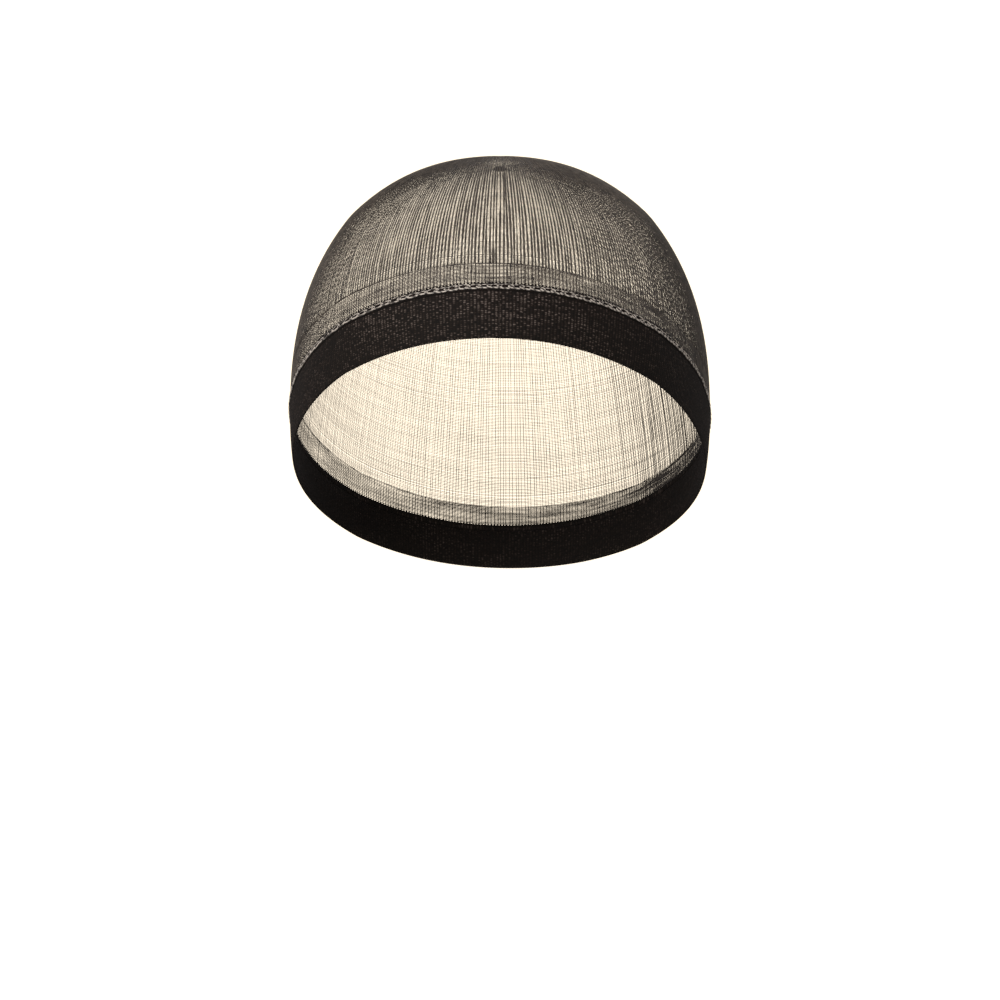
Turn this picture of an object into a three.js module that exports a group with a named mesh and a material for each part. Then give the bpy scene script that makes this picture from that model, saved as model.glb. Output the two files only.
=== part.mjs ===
// Stocking wig cap, in the form that it takes over a head. A sheer knitted crown is closed behind
// the head's top, a denser shadow welt runs round below it, then a raised linking seam, and a
// doubled welt band with a round fold makes the rim.
//
// Millimetres. +Z is up, the forehead faces -Y and the nape +Y. The origin is the inside of the
// cap's top, where the highest point of the head touches it.
//
// Every piece lies on one head form. A place on that form is given by an azimuth about the pole
// axis, which is where the wales of the knitting meet, and by the distance up the cloth from the rim.

import * as THREE from 'three';

// ---- Head form: the inside of the cloth, measured from the form's middle ----
const HALF_BREADTH = 76.4;
const FRONT_LENGTH = 97.0;
const BACK_LENGTH = 89.0;
const CROWN_HEIGHT = 92.7;
const LOWER_HEIGHT = 89.0;
const FULLNESS = 2.25; // power of the upright outline: 2 is an ellipse, more is squarer
const RIDGE = { height: 0.7, across: 53.5, spread: 8.0 }; // low ridges that run front to back

// ---- Pole and rim ----
const POLE_BACK_TILT = THREE.MathUtils.degToRad(28); // pole axis, tilted back from upright
const RIM_TILT = THREE.MathUtils.degToRad(28); // rim plane, high at the forehead
const RIM_ROLL = THREE.MathUtils.degToRad(1.8); // and a little lower on the +X side
const RIM_FRONT = { y: -95.6, z: -67.1 }; // a point of the rim plane at the forehead

// ---- Cloth, in distances up from the rim ----
const SEAM_GAP = 0.3; // clear space between neighbouring pieces
const BAND_HEIGHT = { mean: 17.1, skew: 0.6 }; // skew: added on +X, taken off on -X
const LINKING_HEIGHT = 2.2;
const SHADOW_TOP = { mean: 27.4, skew: -1.0 };
const SHEER_WALL = 1.0;
const LINKING_WALL = 1.5;
const BAND_WALL = 1.7;

// ---- Fineness of the surfaces ----
const COLUMNS = 60; // steps round the head
const CROWN_ROWS = 16; // steps from the crown's edge to the pole
const BAND_ROWS = 4;
const WELT_ROWS = 2;
const LINKING_ROWS = 1;
const END_STEPS = 3; // steps round each end of a ring's section
const MERIDIAN_STEPS = 500;
const MERIDIAN_END = THREE.MathUtils.degToRad(130); // polar angle well below the rim

const MIDDLE = new THREE.Vector3(0, 0, -CROWN_HEIGHT);
const POLE = new THREE.Vector3(0, Math.sin(POLE_BACK_TILT), Math.cos(POLE_BACK_TILT));
const POLE_FRONT = new THREE.Vector3(0, -Math.cos(POLE_BACK_TILT), Math.sin(POLE_BACK_TILT));
const POLE_RIGHT = new THREE.Vector3(1, 0, 0);

/** The form's half length and half height on the side that a direction from its middle points to. */
function formReach(direction) {
  return {
    length: direction.y < 0 ? FRONT_LENGTH : BACK_LENGTH,
    height: direction.z > 0 ? CROWN_HEIGHT : LOWER_HEIGHT,
  };
}

/** Distance from the form's middle to its surface, along a unit direction. */
function formRadius(direction) {
  const { length, height } = formReach(direction);
  const plan = Math.hypot(direction.x / HALF_BREADTH, direction.y / length);
  const level = Math.abs(direction.z / height);
  const smooth = (plan ** FULLNESS + level ** FULLNESS) ** (-1 / FULLNESS);
  const fromRidge = Math.hypot(Math.abs(direction.x * smooth) - RIDGE.across, 1);
  return smooth + RIDGE.height * Math.exp(-fromRidge / RIDGE.spread);
}

/** Outward unit normal of the form, from the slope of its smooth equation. */
function formNormal(offset) {
  const { length, height } = formReach(offset);
  const plan = Math.hypot(offset.x / HALF_BREADTH, offset.y / length);
  const planSlope = plan ** (FULLNESS - 2);
  const level = Math.abs(offset.z) ** (FULLNESS - 1) / height ** FULLNESS;
  return new THREE.Vector3(
    (planSlope * offset.x) / HALF_BREADTH ** 2,
    (planSlope * offset.y) / length ** 2,
    Math.sign(offset.z) * level,
  ).normalize();
}

/** Point of the cloth at an azimuth from the forehead and a polar angle, lifted off the form. */
function clothPoint(azimuth, polar, lift = 0) {
  const offset = POLE.clone()
    .multiplyScalar(Math.cos(polar))
    .addScaledVector(POLE_FRONT, Math.sin(polar) * Math.cos(azimuth))
    .addScaledVector(POLE_RIGHT, Math.sin(polar) * Math.sin(azimuth));
  offset.multiplyScalar(formRadius(offset));
  const normal = formNormal(offset);
  return offset.addScaledVector(normal, lift).add(MIDDLE);
}

/** Height of a point above the rim plane. */
function aboveRim(point) {
  const rimHeight = RIM_FRONT.z - Math.tan(RIM_TILT) * (point.y - RIM_FRONT.y) - Math.tan(RIM_ROLL) * point.x;
  return point.z - rimHeight;
}

/** One line of the form from the pole to the rim, which turns distance up the cloth into an angle. */
class Meridian {
  constructor(azimuth) {
    this.azimuth = azimuth;
    this.polars = [0];
    this.fromPole = [0];
    let last = clothPoint(azimuth, 0);
    for (let step = 1; step <= MERIDIAN_STEPS; step++) {
      const polar = (MERIDIAN_END * step) / MERIDIAN_STEPS;
      const point = clothPoint(azimuth, polar);
      this.polars.push(polar);
      this.fromPole.push(this.fromPole[step - 1] + point.distanceTo(last));
      if (aboveRim(point) < 0) {
        const share = aboveRim(last) / (aboveRim(last) - aboveRim(point));
        this.length = THREE.MathUtils.lerp(this.fromPole[step - 1], this.fromPole[step], share);
        break;
      }
      last = point;
    }
  }

  /** Polar angle at a distance up the cloth from the rim. */
  polarAt(distance) {
    const fromPole = this.length - distance;
    const above = this.fromPole.findIndex((travelled) => travelled >= fromPole);
    const share = (fromPole - this.fromPole[above - 1]) / (this.fromPole[above] - this.fromPole[above - 1]);
    return THREE.MathUtils.lerp(this.polars[above - 1], this.polars[above], share);
  }
}

const MERIDIANS = Array.from({ length: COLUMNS }, (_, column) => new Meridian((2 * Math.PI * column) / COLUMNS));

/** A height that is skewed from one side of the head to the other. */
const skewed = (height, azimuth) => height.mean + height.skew * Math.sin(azimuth);

const bandTop = (azimuth) => skewed(BAND_HEIGHT, azimuth);
const linkingBottom = (azimuth) => bandTop(azimuth) + SEAM_GAP;
const linkingTop = (azimuth) => linkingBottom(azimuth) + LINKING_HEIGHT;
const shadowBottom = (azimuth) => linkingTop(azimuth) + SEAM_GAP;
const shadowTop = (azimuth) => skewed(SHADOW_TOP, azimuth);
const crownBottom = (azimuth) => shadowTop(azimuth) + SEAM_GAP;

/**
 * Section of a ring of cloth with round ends, as [distance up the cloth, lift] pairs that go up the
 * inside, over the top, down the outside and round the bottom.
 */
function clothSection(bottom, top, wall, rows) {
  const radius = wall / 2;
  const low = bottom + radius;
  const high = top - radius;
  const points = [];
  for (let row = 0; row < rows; row++) {
    points.push([THREE.MathUtils.lerp(low, high, row / rows), 0]);
  }
  for (let step = 0; step < END_STEPS; step++) {
    const turn = (Math.PI * step) / END_STEPS;
    points.push([high + radius * Math.sin(turn), radius - radius * Math.cos(turn)]);
  }
  for (let row = 0; row < rows; row++) {
    points.push([THREE.MathUtils.lerp(high, low, row / rows), wall]);
  }
  for (let step = 0; step < END_STEPS; step++) {
    const turn = (Math.PI * step) / END_STEPS;
    points.push([low - radius * Math.sin(turn), radius + radius * Math.cos(turn)]);
  }
  return points;
}

/** Geometry from points and the corners of its triangles. */
function indexedGeometry(points, corners) {
  const geometry = new THREE.BufferGeometry().setFromPoints(points);
  geometry.setIndex(corners);
  geometry.computeVertexNormals();
  return geometry;
}

/** A ring of cloth all round the head, between two edges. */
function clothRing(bottomAt, topAt, wall, rows) {
  const points = [];
  const corners = [];
  const sectionSize = 2 * (rows + END_STEPS);
  MERIDIANS.forEach((meridian, column) => {
    const { azimuth } = meridian;
    const section = clothSection(bottomAt(azimuth), topAt(azimuth), wall, rows);
    const nextColumn = (column + 1) % COLUMNS;
    section.forEach(([distance, lift], row) => {
      points.push(clothPoint(azimuth, meridian.polarAt(distance), lift));
      const nextRow = (row + 1) % sectionSize;
      const here = column * sectionSize + row;
      const above = column * sectionSize + nextRow;
      const beside = nextColumn * sectionSize + row;
      const across = nextColumn * sectionSize + nextRow;
      corners.push(here, above, across, here, across, beside);
    });
  });
  return indexedGeometry(points, corners);
}

/** A dome of cloth from an edge up to the pole: an inner and an outer skin, joined at the edge. */
function clothDome(bottomAt, wall, rows) {
  const points = [clothPoint(0, 0, 0), clothPoint(0, 0, wall)];
  const corners = [];
  const innerPole = 0;
  const outerPole = 1;
  const columnSize = 2 * rows;
  const inner = (column, row) => 2 + (column % COLUMNS) * columnSize + row;
  const outer = (column, row) => inner(column, row) + rows;
  MERIDIANS.forEach((meridian, column) => {
    const { azimuth } = meridian;
    const edgePolar = meridian.polarAt(bottomAt(azimuth));
    for (const lift of [0, wall]) {
      for (let row = 0; row < rows; row++) {
        points.push(clothPoint(azimuth, edgePolar * (1 - row / rows), lift));
      }
    }
    const next = column + 1;
    for (let row = 0; row < rows - 1; row++) {
      corners.push(inner(column, row), inner(column, row + 1), inner(next, row + 1));
      corners.push(inner(column, row), inner(next, row + 1), inner(next, row));
      corners.push(outer(column, row), outer(next, row + 1), outer(column, row + 1));
      corners.push(outer(column, row), outer(next, row), outer(next, row + 1));
    }
    corners.push(inner(column, rows - 1), innerPole, inner(next, rows - 1));
    corners.push(outer(column, rows - 1), outer(next, rows - 1), outerPole);
    corners.push(inner(column, 0), inner(next, 0), outer(next, 0));
    corners.push(inner(column, 0), outer(next, 0), outer(column, 0));
  });
  return indexedGeometry(points, corners);
}

/** Mesh with the name of its node. */
function piece(name, geometry, material) {
  const mesh = new THREE.Mesh(geometry, material);
  mesh.name = name;
  return mesh;
}

const sheerKnit = new THREE.MeshStandardMaterial({
  color: '#5b534a', roughness: 0.7, metalness: 0, transparent: true, opacity: 0.55,
});
const shadowKnit = new THREE.MeshStandardMaterial({
  color: '#4b443d', roughness: 0.7, metalness: 0, transparent: true, opacity: 0.7,
});
const seamThread = new THREE.MeshStandardMaterial({ color: '#5e564e', roughness: 0.5, metalness: 0 });
const weltKnit = new THREE.MeshStandardMaterial({ color: '#2a221e', roughness: 0.85, metalness: 0 });

const wigCap = new THREE.Group();
wigCap.add(
  piece('crown', clothDome(crownBottom, SHEER_WALL, CROWN_ROWS), sheerKnit),
  piece('shadow_welt', clothRing(shadowBottom, shadowTop, SHEER_WALL, WELT_ROWS), shadowKnit),
  piece('linking_seam', clothRing(linkingBottom, linkingTop, LINKING_WALL, LINKING_ROWS), seamThread),
  piece('welt_band', clothRing(() => 0, bandTop, BAND_WALL, BAND_ROWS), weltKnit),
);

export default wigCap;
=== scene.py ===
"""Stocking wig cap: sheer knitted crown, shadow welt, chain-stitched linking seam and doubled welt band.

Sizes are in millimetres until a mesh is made. Every piece lies on one head form. A place on the cloth
is an azimuth about the pole axis, where the wales of the knitting meet, and a distance up from the rim.
"""

from __future__ import annotations

import logging
import math
from dataclasses import dataclass, field
from enum import Enum
from functools import partial
from typing import Any, Sequence

import bpy
import numpy as np
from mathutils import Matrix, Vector


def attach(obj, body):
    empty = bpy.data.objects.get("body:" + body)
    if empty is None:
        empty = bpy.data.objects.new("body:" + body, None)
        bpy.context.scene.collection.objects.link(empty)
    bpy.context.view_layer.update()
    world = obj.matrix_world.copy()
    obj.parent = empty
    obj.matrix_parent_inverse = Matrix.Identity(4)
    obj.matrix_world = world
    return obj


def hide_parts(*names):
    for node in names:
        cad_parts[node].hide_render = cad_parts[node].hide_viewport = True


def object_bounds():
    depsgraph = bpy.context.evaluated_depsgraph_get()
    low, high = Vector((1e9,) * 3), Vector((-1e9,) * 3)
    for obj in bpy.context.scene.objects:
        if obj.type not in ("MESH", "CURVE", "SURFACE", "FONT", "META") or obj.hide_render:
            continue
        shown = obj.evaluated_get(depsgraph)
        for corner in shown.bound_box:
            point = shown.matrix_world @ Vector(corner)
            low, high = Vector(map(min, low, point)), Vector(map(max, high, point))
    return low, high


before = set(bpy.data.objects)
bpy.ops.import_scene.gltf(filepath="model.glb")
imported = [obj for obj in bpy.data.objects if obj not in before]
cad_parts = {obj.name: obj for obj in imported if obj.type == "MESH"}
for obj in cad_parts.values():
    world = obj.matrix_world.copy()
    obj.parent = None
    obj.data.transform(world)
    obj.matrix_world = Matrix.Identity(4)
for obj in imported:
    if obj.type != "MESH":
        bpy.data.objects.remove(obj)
CAD_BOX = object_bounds()

LOG = logging.getLogger("wig_cap")
MM = 0.001
TURN = 2.0 * math.pi
SEED = 22
RIM_TILT = math.radians(28.0)
WALES_PER_STITCH = 3
WAVE_REPEATS = 3.2  # repeats in a metre of a wave texture of scale 1


class Node(Enum):
    """CAD nodes that the pieces here stand for."""

    CROWN = "crown"
    SHADOW_WELT = "shadow_welt"
    LINKING_SEAM = "linking_seam"
    WELT_BAND = "welt_band"


class Slot(Enum):
    """Material slots of the part's record."""

    SHEER_KNIT = "sheer_knit"
    SHADOW_KNIT = "shadow_knit"
    SEAM_THREAD = "seam_thread"
    WELT_KNIT = "welt_knit"


# ---------------------------------------------------------------- form


@dataclass(frozen=True)
class HeadForm:
    """Form that the inside of the cap takes over a head.

    The outline is a superellipse: plan^p + height^p = 1, where p is the fullness, plan the distance from
    the upright axis in half breadths and lengths, and height the distance from the middle in half heights.
    A low ridge runs from front to back on each side, ridge_across from the middle, where a head is fuller.
    """

    half_breadth: float = 76.4
    front_length: float = 97.0
    back_length: float = 89.0
    crown_height: float = 92.7
    lower_height: float = 89.0
    fullness: float = 2.25
    ridge_height: float = 0.7
    ridge_across: float = 53.5
    ridge_spread: float = 8.0
    ridge_rounding: float = 1.0
    rim_tilt: float = RIM_TILT
    pole_tilt: float = math.radians(15.0)
    bend_start: float = math.radians(40.0)
    bend_end: float = math.radians(105.0)

    def reach(self, vectors: np.ndarray) -> tuple[np.ndarray, np.ndarray]:
        """Half length and half height on the side that each vector points to.

        Args:
            vectors: vectors from the form's middle.

        Returns:
            The half lengths, along Y, and the half heights, along Z.
        """
        length = np.where(vectors[..., 1] < 0, self.front_length, self.back_length)
        height = np.where(vectors[..., 2] > 0, self.crown_height, self.lower_height)
        return length, height

    def radius(self, directions: np.ndarray) -> np.ndarray:
        """Distance to the surface: the superellipse's, with the ridges added as exponentials.

        Args:
            directions: unit vectors from the form's middle.

        Returns:
            Distances in millimetres.
        """
        length, height = self.reach(directions)
        plan = np.hypot(directions[..., 0] / self.half_breadth, directions[..., 1] / length)
        level = np.abs(directions[..., 2]) / height
        smooth = (plan**self.fullness + level**self.fullness) ** (-1.0 / self.fullness)
        from_ridge = np.hypot(np.abs(directions[..., 0] * smooth) - self.ridge_across, self.ridge_rounding)
        return smooth + self.ridge_height * np.exp(-from_ridge / self.ridge_spread)

    def normals(self, offsets: np.ndarray) -> np.ndarray:
        """Outward unit normals: the slope of the superellipse's equation.

        Args:
            offsets: vectors from the form's middle to points of its surface.

        Returns:
            Unit vectors.
        """
        length, height = self.reach(offsets)
        plan = np.hypot(offsets[..., 0] / self.half_breadth, offsets[..., 1] / length)
        plan_slope = np.maximum(plan, 1e-6) ** (self.fullness - 2.0)
        level = np.abs(offsets[..., 2]) ** (self.fullness - 1.0) / height**self.fullness
        slope = np.stack(
            [
                plan_slope * offsets[..., 0] / self.half_breadth**2,
                plan_slope * offsets[..., 1] / length**2,
                np.sign(offsets[..., 2]) * level,
            ],
            axis=-1,
        )
        return unit(slope)

    def tilt(self, polar: np.ndarray) -> np.ndarray:
        """Backward tilt of the wales' axis: square to the rim there, and nearer upright at the pole."""
        share = smooth_step((polar - self.bend_start) / (self.bend_end - self.bend_start))
        return self.pole_tilt + (self.rim_tilt - self.pole_tilt) * share

    def place(
        self, azimuth: np.ndarray, polar: np.ndarray, lift: np.ndarray | float = 0.0
    ) -> tuple[np.ndarray, np.ndarray]:
        """Points of the cloth and their normals.

        Args:
            azimuth: angle about the pole axis, from the forehead towards +X.
            polar: angle from the pole axis.
            lift: height off the form along the normal.

        Returns:
            Points and outward unit normals, in the part's frame.
        """
        azimuth, polar, lift = np.broadcast_arrays(azimuth, polar, lift)
        tilt = self.tilt(polar)
        sin_tilt, cos_tilt = np.sin(tilt), np.cos(tilt)
        forward = np.sin(polar) * np.cos(azimuth)
        along = np.cos(polar)
        directions = np.stack(
            [
                np.sin(polar) * np.sin(azimuth),
                along * sin_tilt - forward * cos_tilt,
                along * cos_tilt + forward * sin_tilt,
            ],
            axis=-1,
        )
        offsets = directions * self.radius(directions)[..., None]
        normals = self.normals(offsets)
        middle = np.array([0.0, 0.0, -self.crown_height])
        return offsets + normals * lift[..., None] + middle, normals


@dataclass(frozen=True)
class Rim:
    """Plane that the rim lies in: high at the forehead, and a little lower on the +X side."""

    tilt: float = RIM_TILT
    roll: float = math.radians(1.8)
    front_y: float = -95.6
    front_z: float = -67.1

    def height_above(self, points: np.ndarray) -> np.ndarray:
        """Height of points above the plane, along Z.

        Args:
            points: points in the part's frame.

        Returns:
            Heights, less than 0 below the plane.
        """
        plane = (
            self.front_z
            - math.tan(self.tilt) * (points[..., 1] - self.front_y)
            - math.tan(self.roll) * points[..., 0]
        )
        return points[..., 2] - plane


class ClothMap:
    """Turns distances up the cloth, and wale numbers round it, into angles of the head form.

    The tables hold COLUMNS azimuths, and ROWS equal steps of length from the pole down to the rim.
    """

    COLUMNS = 720
    ROWS = 512
    LOWEST = math.radians(130.0)

    def __init__(self, form: HeadForm, rim: Rim, wale_count: int, wale_level: float) -> None:
        """Makes the tables.

        Args:
            form: the head form.
            rim: the rim's plane.
            wale_count: wales round the cap.
            wale_level: distance up the cloth at which the wales are evenly spaced.
        """
        self.form = form
        self.wale_count = wale_count
        azimuth = np.linspace(0.0, TURN, self.COLUMNS + 1)
        self.azimuth_table = azimuth
        polar = np.linspace(0.0, self.LOWEST, self.ROWS + 1)
        points, _ = form.place(azimuth[:, None], polar[None, :])
        steps = np.linalg.norm(np.diff(points, axis=1), axis=2)
        travelled = np.concatenate([np.zeros((len(azimuth), 1)), np.cumsum(steps, axis=1)], axis=1)
        above = rim.height_above(points)
        last = (above > 0).sum(axis=1) - 1
        column = np.arange(len(azimuth))
        share = above[column, last] / (above[column, last] - above[column, last + 1])
        self.length = travelled[column, last] + share * steps[column, last]
        fractions = np.linspace(0.0, 1.0, self.ROWS + 1)
        self.polars = np.stack(
            [np.interp(fractions * self.length[c], travelled[c], polar) for c in column]
        )
        level = self.place(azimuth, np.full_like(azimuth, wale_level))[0]
        round_it = np.concatenate([[0.0], np.cumsum(np.linalg.norm(np.diff(level, axis=0), axis=1))])
        self.girth = float(round_it[-1])
        self.wale_table = round_it / self.girth * wale_count
        self.mean_length = float(self.length[:-1].mean())

    def girths(self, distances: np.ndarray) -> np.ndarray:
        """Length once round the cloth.

        Args:
            distances: distances up from the rim.

        Returns:
            The length at each of them.
        """
        azimuth = self.azimuth_table[:, None]
        ring = self.place(azimuth, distances[None, :])[0]
        return np.linalg.norm(np.diff(ring, axis=0), axis=2).sum(axis=0)

    def lengths(self, azimuth: np.ndarray) -> np.ndarray:
        """Length of the cloth from the rim to the pole at each azimuth."""
        return np.interp(np.mod(azimuth, TURN), self.azimuth_table, self.length)

    def polar(self, azimuth: np.ndarray, distance: np.ndarray) -> np.ndarray:
        """Polar angle of places on the cloth, read between the table's entries.

        Args:
            azimuth: azimuth of each place.
            distance: distance up from the rim of each place.

        Returns:
            Angles from the pole axis.
        """
        azimuth, distance = np.broadcast_arrays(azimuth, distance)
        column = np.mod(azimuth, TURN) / TURN * self.COLUMNS
        row = np.clip(1.0 - distance / self.lengths(azimuth), 0.0, 1.0) * self.ROWS
        left = np.minimum(column.astype(int), self.COLUMNS - 1)
        below = np.minimum(row.astype(int), self.ROWS - 1)
        across, down = column - left, row - below
        table = self.polars
        near = table[left, below] * (1 - down) + table[left, below + 1] * down
        far = table[left + 1, below] * (1 - down) + table[left + 1, below + 1] * down
        return near * (1 - across) + far * across

    def place(
        self, azimuth: np.ndarray, distance: np.ndarray, lift: np.ndarray | float = 0.0
    ) -> tuple[np.ndarray, np.ndarray]:
        """Points of the cloth, and their normals, at azimuths and distances up from the rim."""
        return self.form.place(azimuth, self.polar(azimuth, distance), lift)

    def azimuth_of(self, wale: np.ndarray) -> np.ndarray:
        """Azimuth of each wale.

        Args:
            wale: numbers of wales, which need not be whole and may go on past a turn.

        Returns:
            Azimuths, on past a turn in the same way.
        """
        turns = np.floor(wale / self.wale_count)
        inside = wale - turns * self.wale_count
        return np.interp(inside, self.wale_table, self.azimuth_table) + turns * TURN


@dataclass(frozen=True)
class Cloth:
    """Where one piece of cloth ends and the next begins, in distances up from the rim.

    A stocking machine has about 400 needles, each of which knits a wale. A few more are drawn here, so
    that the wales are 1.2 mm apart at the shadow welt.
    """

    wale_count: int = 450
    band_mean: float = 17.1
    band_skew: float = 0.6
    seam_height: float = 2.8
    shadow_mean: float = 27.4
    shadow_skew: float = -1.0

    def band_top(self, azimuth: np.ndarray) -> np.ndarray:
        """Top of the welt band: its mean height, more on +X and less on -X."""
        return self.band_mean + self.band_skew * np.sin(azimuth)

    def seam_top(self, azimuth: np.ndarray) -> np.ndarray:
        """Top of the linking seam."""
        return self.band_top(azimuth) + self.seam_height

    def shadow_top(self, azimuth: np.ndarray) -> np.ndarray:
        """Top of the shadow welt: its mean height, less on +X and more on -X."""
        return self.shadow_mean + self.shadow_skew * np.sin(azimuth)


# ---------------------------------------------------------------- mesh tools


def unit(vectors: np.ndarray) -> np.ndarray:
    """Vectors divided by their lengths."""
    return vectors / np.maximum(np.linalg.norm(vectors, axis=-1, keepdims=True), 1e-12)


def smooth_step(share: np.ndarray) -> np.ndarray:
    """Eases shares from 0 to 1 by 3s^2 - 2s^3, and holds them to that range."""
    share = np.clip(share, 0.0, 1.0)
    return share * share * (3.0 - 2.0 * share)


@dataclass
class Surface:
    """Vertices in millimetres, the corners of their faces, and optional numbers for each vertex."""

    vertices: np.ndarray
    faces: list[np.ndarray]
    attributes: dict[str, np.ndarray] = field(default_factory=dict)

    @staticmethod
    def joined(surfaces: Sequence["Surface"]) -> "Surface":
        """One surface out of several.

        Args:
            surfaces: the surfaces, in order.

        Returns:
            Their vertices and faces together, with the attributes that all of them have.
        """
        starts = np.cumsum([0] + [len(s.vertices) for s in surfaces[:-1]])
        shared = set.intersection(*(set(s.attributes) for s in surfaces))
        return Surface(
            np.concatenate([s.vertices for s in surfaces]),
            [face + start for s, start in zip(surfaces, starts) for face in s.faces],
            {name: np.concatenate([s.attributes[name] for s in surfaces]) for name in sorted(shared)},
        )

    def to_object(self, name: str) -> bpy.types.Object:
        """Makes a Blender object at the origin, in metres, with smooth faces.

        Args:
            name: name of the object and its mesh.

        Returns:
            The object, linked to the scene.
        """
        mesh = bpy.data.meshes.new(name)
        mesh.vertices.add(len(self.vertices))
        mesh.vertices.foreach_set("co", (self.vertices * MM).astype(np.float32).ravel())
        sizes = np.concatenate([np.full(len(face), face.shape[1]) for face in self.faces])
        corners = np.concatenate([face.ravel() for face in self.faces])
        mesh.loops.add(len(corners))
        mesh.loops.foreach_set("vertex_index", corners.astype(np.int32))
        mesh.polygons.add(len(sizes))
        starts = np.concatenate([[0], np.cumsum(sizes)[:-1]])
        mesh.polygons.foreach_set("loop_start", starts.astype(np.int32))
        mesh.polygons.foreach_set("use_smooth", np.ones(len(sizes), dtype=bool))
        for label, values in self.attributes.items():
            layer = mesh.attributes.new(label, "FLOAT_VECTOR", "POINT")
            layer.data.foreach_set("vector", values.astype(np.float32).ravel())
        mesh.update(calc_edges=True)
        mesh.validate()
        piece = bpy.data.objects.new(name, mesh)
        bpy.context.scene.collection.objects.link(piece)
        return piece


def tubes(
    paths: np.ndarray,
    normals: np.ndarray,
    half_widths: np.ndarray,
    half_heights: np.ndarray,
    sides: int,
    closed: bool,
) -> Surface:
    """Tubes of an oval section along many paths at once.

    A section's point is the path's point, plus width times cos(turn) along the side direction, plus
    height times sin(turn) along the normal. The side direction is the normal crossed with the path's.

    Args:
        paths: points, one row of them for each tube.
        normals: unit vectors that the section's height lies along.
        half_widths: half the section's width at each point.
        half_heights: half the section's height at each point.
        sides: faces round each tube.
        closed: True if each path is a loop.

    Returns:
        Closed surfaces, with end caps on the open paths.
    """
    if closed:
        along = unit(np.roll(paths, -1, axis=1) - np.roll(paths, 1, axis=1))
    else:
        along = unit(np.gradient(paths, axis=1))
    beside = unit(np.cross(normals, along))
    upright = unit(np.cross(along, beside))
    turn = TURN * np.arange(sides) / sides + math.pi / 2
    points = (
        paths[:, :, None]
        + (half_widths[..., None] * np.cos(turn))[..., None] * beside[:, :, None]
        + (half_heights[..., None] * np.sin(turn))[..., None] * upright[:, :, None]
    )
    count, steps = paths.shape[:2]
    index = np.arange(count * steps * sides).reshape(count, steps, sides)
    ahead = np.roll(index, -1, axis=1) if closed else index[:, 1:]
    here = index if closed else index[:, :-1]
    quads = np.stack([here, np.roll(here, -1, 2), np.roll(ahead, -1, 2), ahead], axis=-1)
    faces = [quads.reshape(-1, 4)]
    if not closed:
        faces += [index[:, 0, ::-1], index[:, -1]]
    return Surface(points.reshape(-1, 3), faces)


def ring_quads(index: np.ndarray) -> np.ndarray:
    """Faces between neighbours in a grid whose columns close into a ring.

    Args:
        index: the grid's vertex numbers, with its columns along the first axis.

    Returns:
        Four corners for each face.
    """
    beside = np.roll(index, -1, axis=0)
    quads = np.stack([index[:, :-1], index[:, 1:], beside[:, 1:], beside[:, :-1]], axis=-1)
    return quads.reshape(-1, 4)


def swept_loop(points: np.ndarray) -> Surface:
    """A closed surface from a grid of points that joins up both ways.

    Args:
        points: grid whose columns go round the head and whose rows go round the section, up the
            inside and down the outside.

    Returns:
        The surface, with its faces pointing out.
    """
    columns, rows = points.shape[:2]
    index = np.arange(columns * rows).reshape(columns, rows)
    above, beside = np.roll(index, -1, axis=1), np.roll(index, -1, axis=0)
    quads = np.stack([index, above, np.roll(above, -1, axis=0), beside], axis=-1)
    return Surface(points.reshape(-1, 3), [quads.reshape(-1, 4)])


def smooth_noise(rng: np.random.Generator, shape: tuple[int, int], blur: tuple[float, float]) -> np.ndarray:
    """Random numbers of mean 0 and deviation 1 that change smoothly along both ways of a grid.

    White noise is multiplied, in its spectrum, by a bell curve that leaves waves longer than the blur.

    Args:
        rng: source of the white noise.
        shape: rows and columns of the grid.
        blur: how far the noise is smeared down the columns and along the rows, in steps of the grid.

    Returns:
        The numbers, in a grid of that shape.
    """
    white = rng.standard_normal(shape)
    across = np.fft.fftfreq(shape[0])[:, None] * blur[0]
    along = np.fft.fftfreq(shape[1])[None, :] * blur[1]
    smooth = np.fft.ifft2(np.fft.fft2(white) * np.exp(-2.0 * math.pi**2 * (across**2 + along**2))).real
    return (smooth - smooth.mean()) / smooth.std()


# ---------------------------------------------------------------- finishes


def linear(hex_colour: str) -> tuple[float, float, float, float]:
    """Linear colour of an sRGB hex value such as #2a221e."""
    parts = [int(hex_colour[i : i + 2], 16) / 255 for i in (1, 3, 5)]
    return (*(c / 12.92 if c <= 0.04045 else ((c + 0.055) / 1.055) ** 2.4 for c in parts), 1.0)


def add_node(
    tree: bpy.types.NodeTree,
    kind: str,
    values: dict[str | int, Any] | None = None,
    links: dict[str | int, bpy.types.NodeSocket] | None = None,
    stops: Sequence[tuple[float, str]] = (),
    **settings: Any,
) -> bpy.types.Node:
    """Adds a node to a tree.

    Args:
        tree: the material's or world's node tree.
        kind: the node's type.
        values: numbers and colours for its inputs.
        links: sockets that feed its inputs.
        stops: places from 0 to 1 and their sRGB hex values, where the node is a colour ramp.
        settings: its own properties.

    Returns:
        The new node.
    """
    node = tree.nodes.new(kind)
    for name, value in settings.items():
        setattr(node, name, value)
    for socket, value in (values or {}).items():
        node.inputs[socket].default_value = value
    for socket, source in (links or {}).items():
        tree.links.new(source, node.inputs[socket])
    if stops:
        elements = node.color_ramp.elements
        while len(elements) < len(stops):
            elements.new(0.5)
        for element, (position, colour) in zip(elements, stops):
            element.position = position
            element.color = linear(colour)
    return node


def new_material(name: str) -> tuple[bpy.types.Material, bpy.types.NodeTree]:
    """Makes an empty node material.

    Args:
        name: the material's name.

    Returns:
        The material and its tree.
    """
    material = bpy.data.materials.new(name)
    material.use_nodes = True
    material.node_tree.nodes.clear()
    return material, material.node_tree


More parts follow.
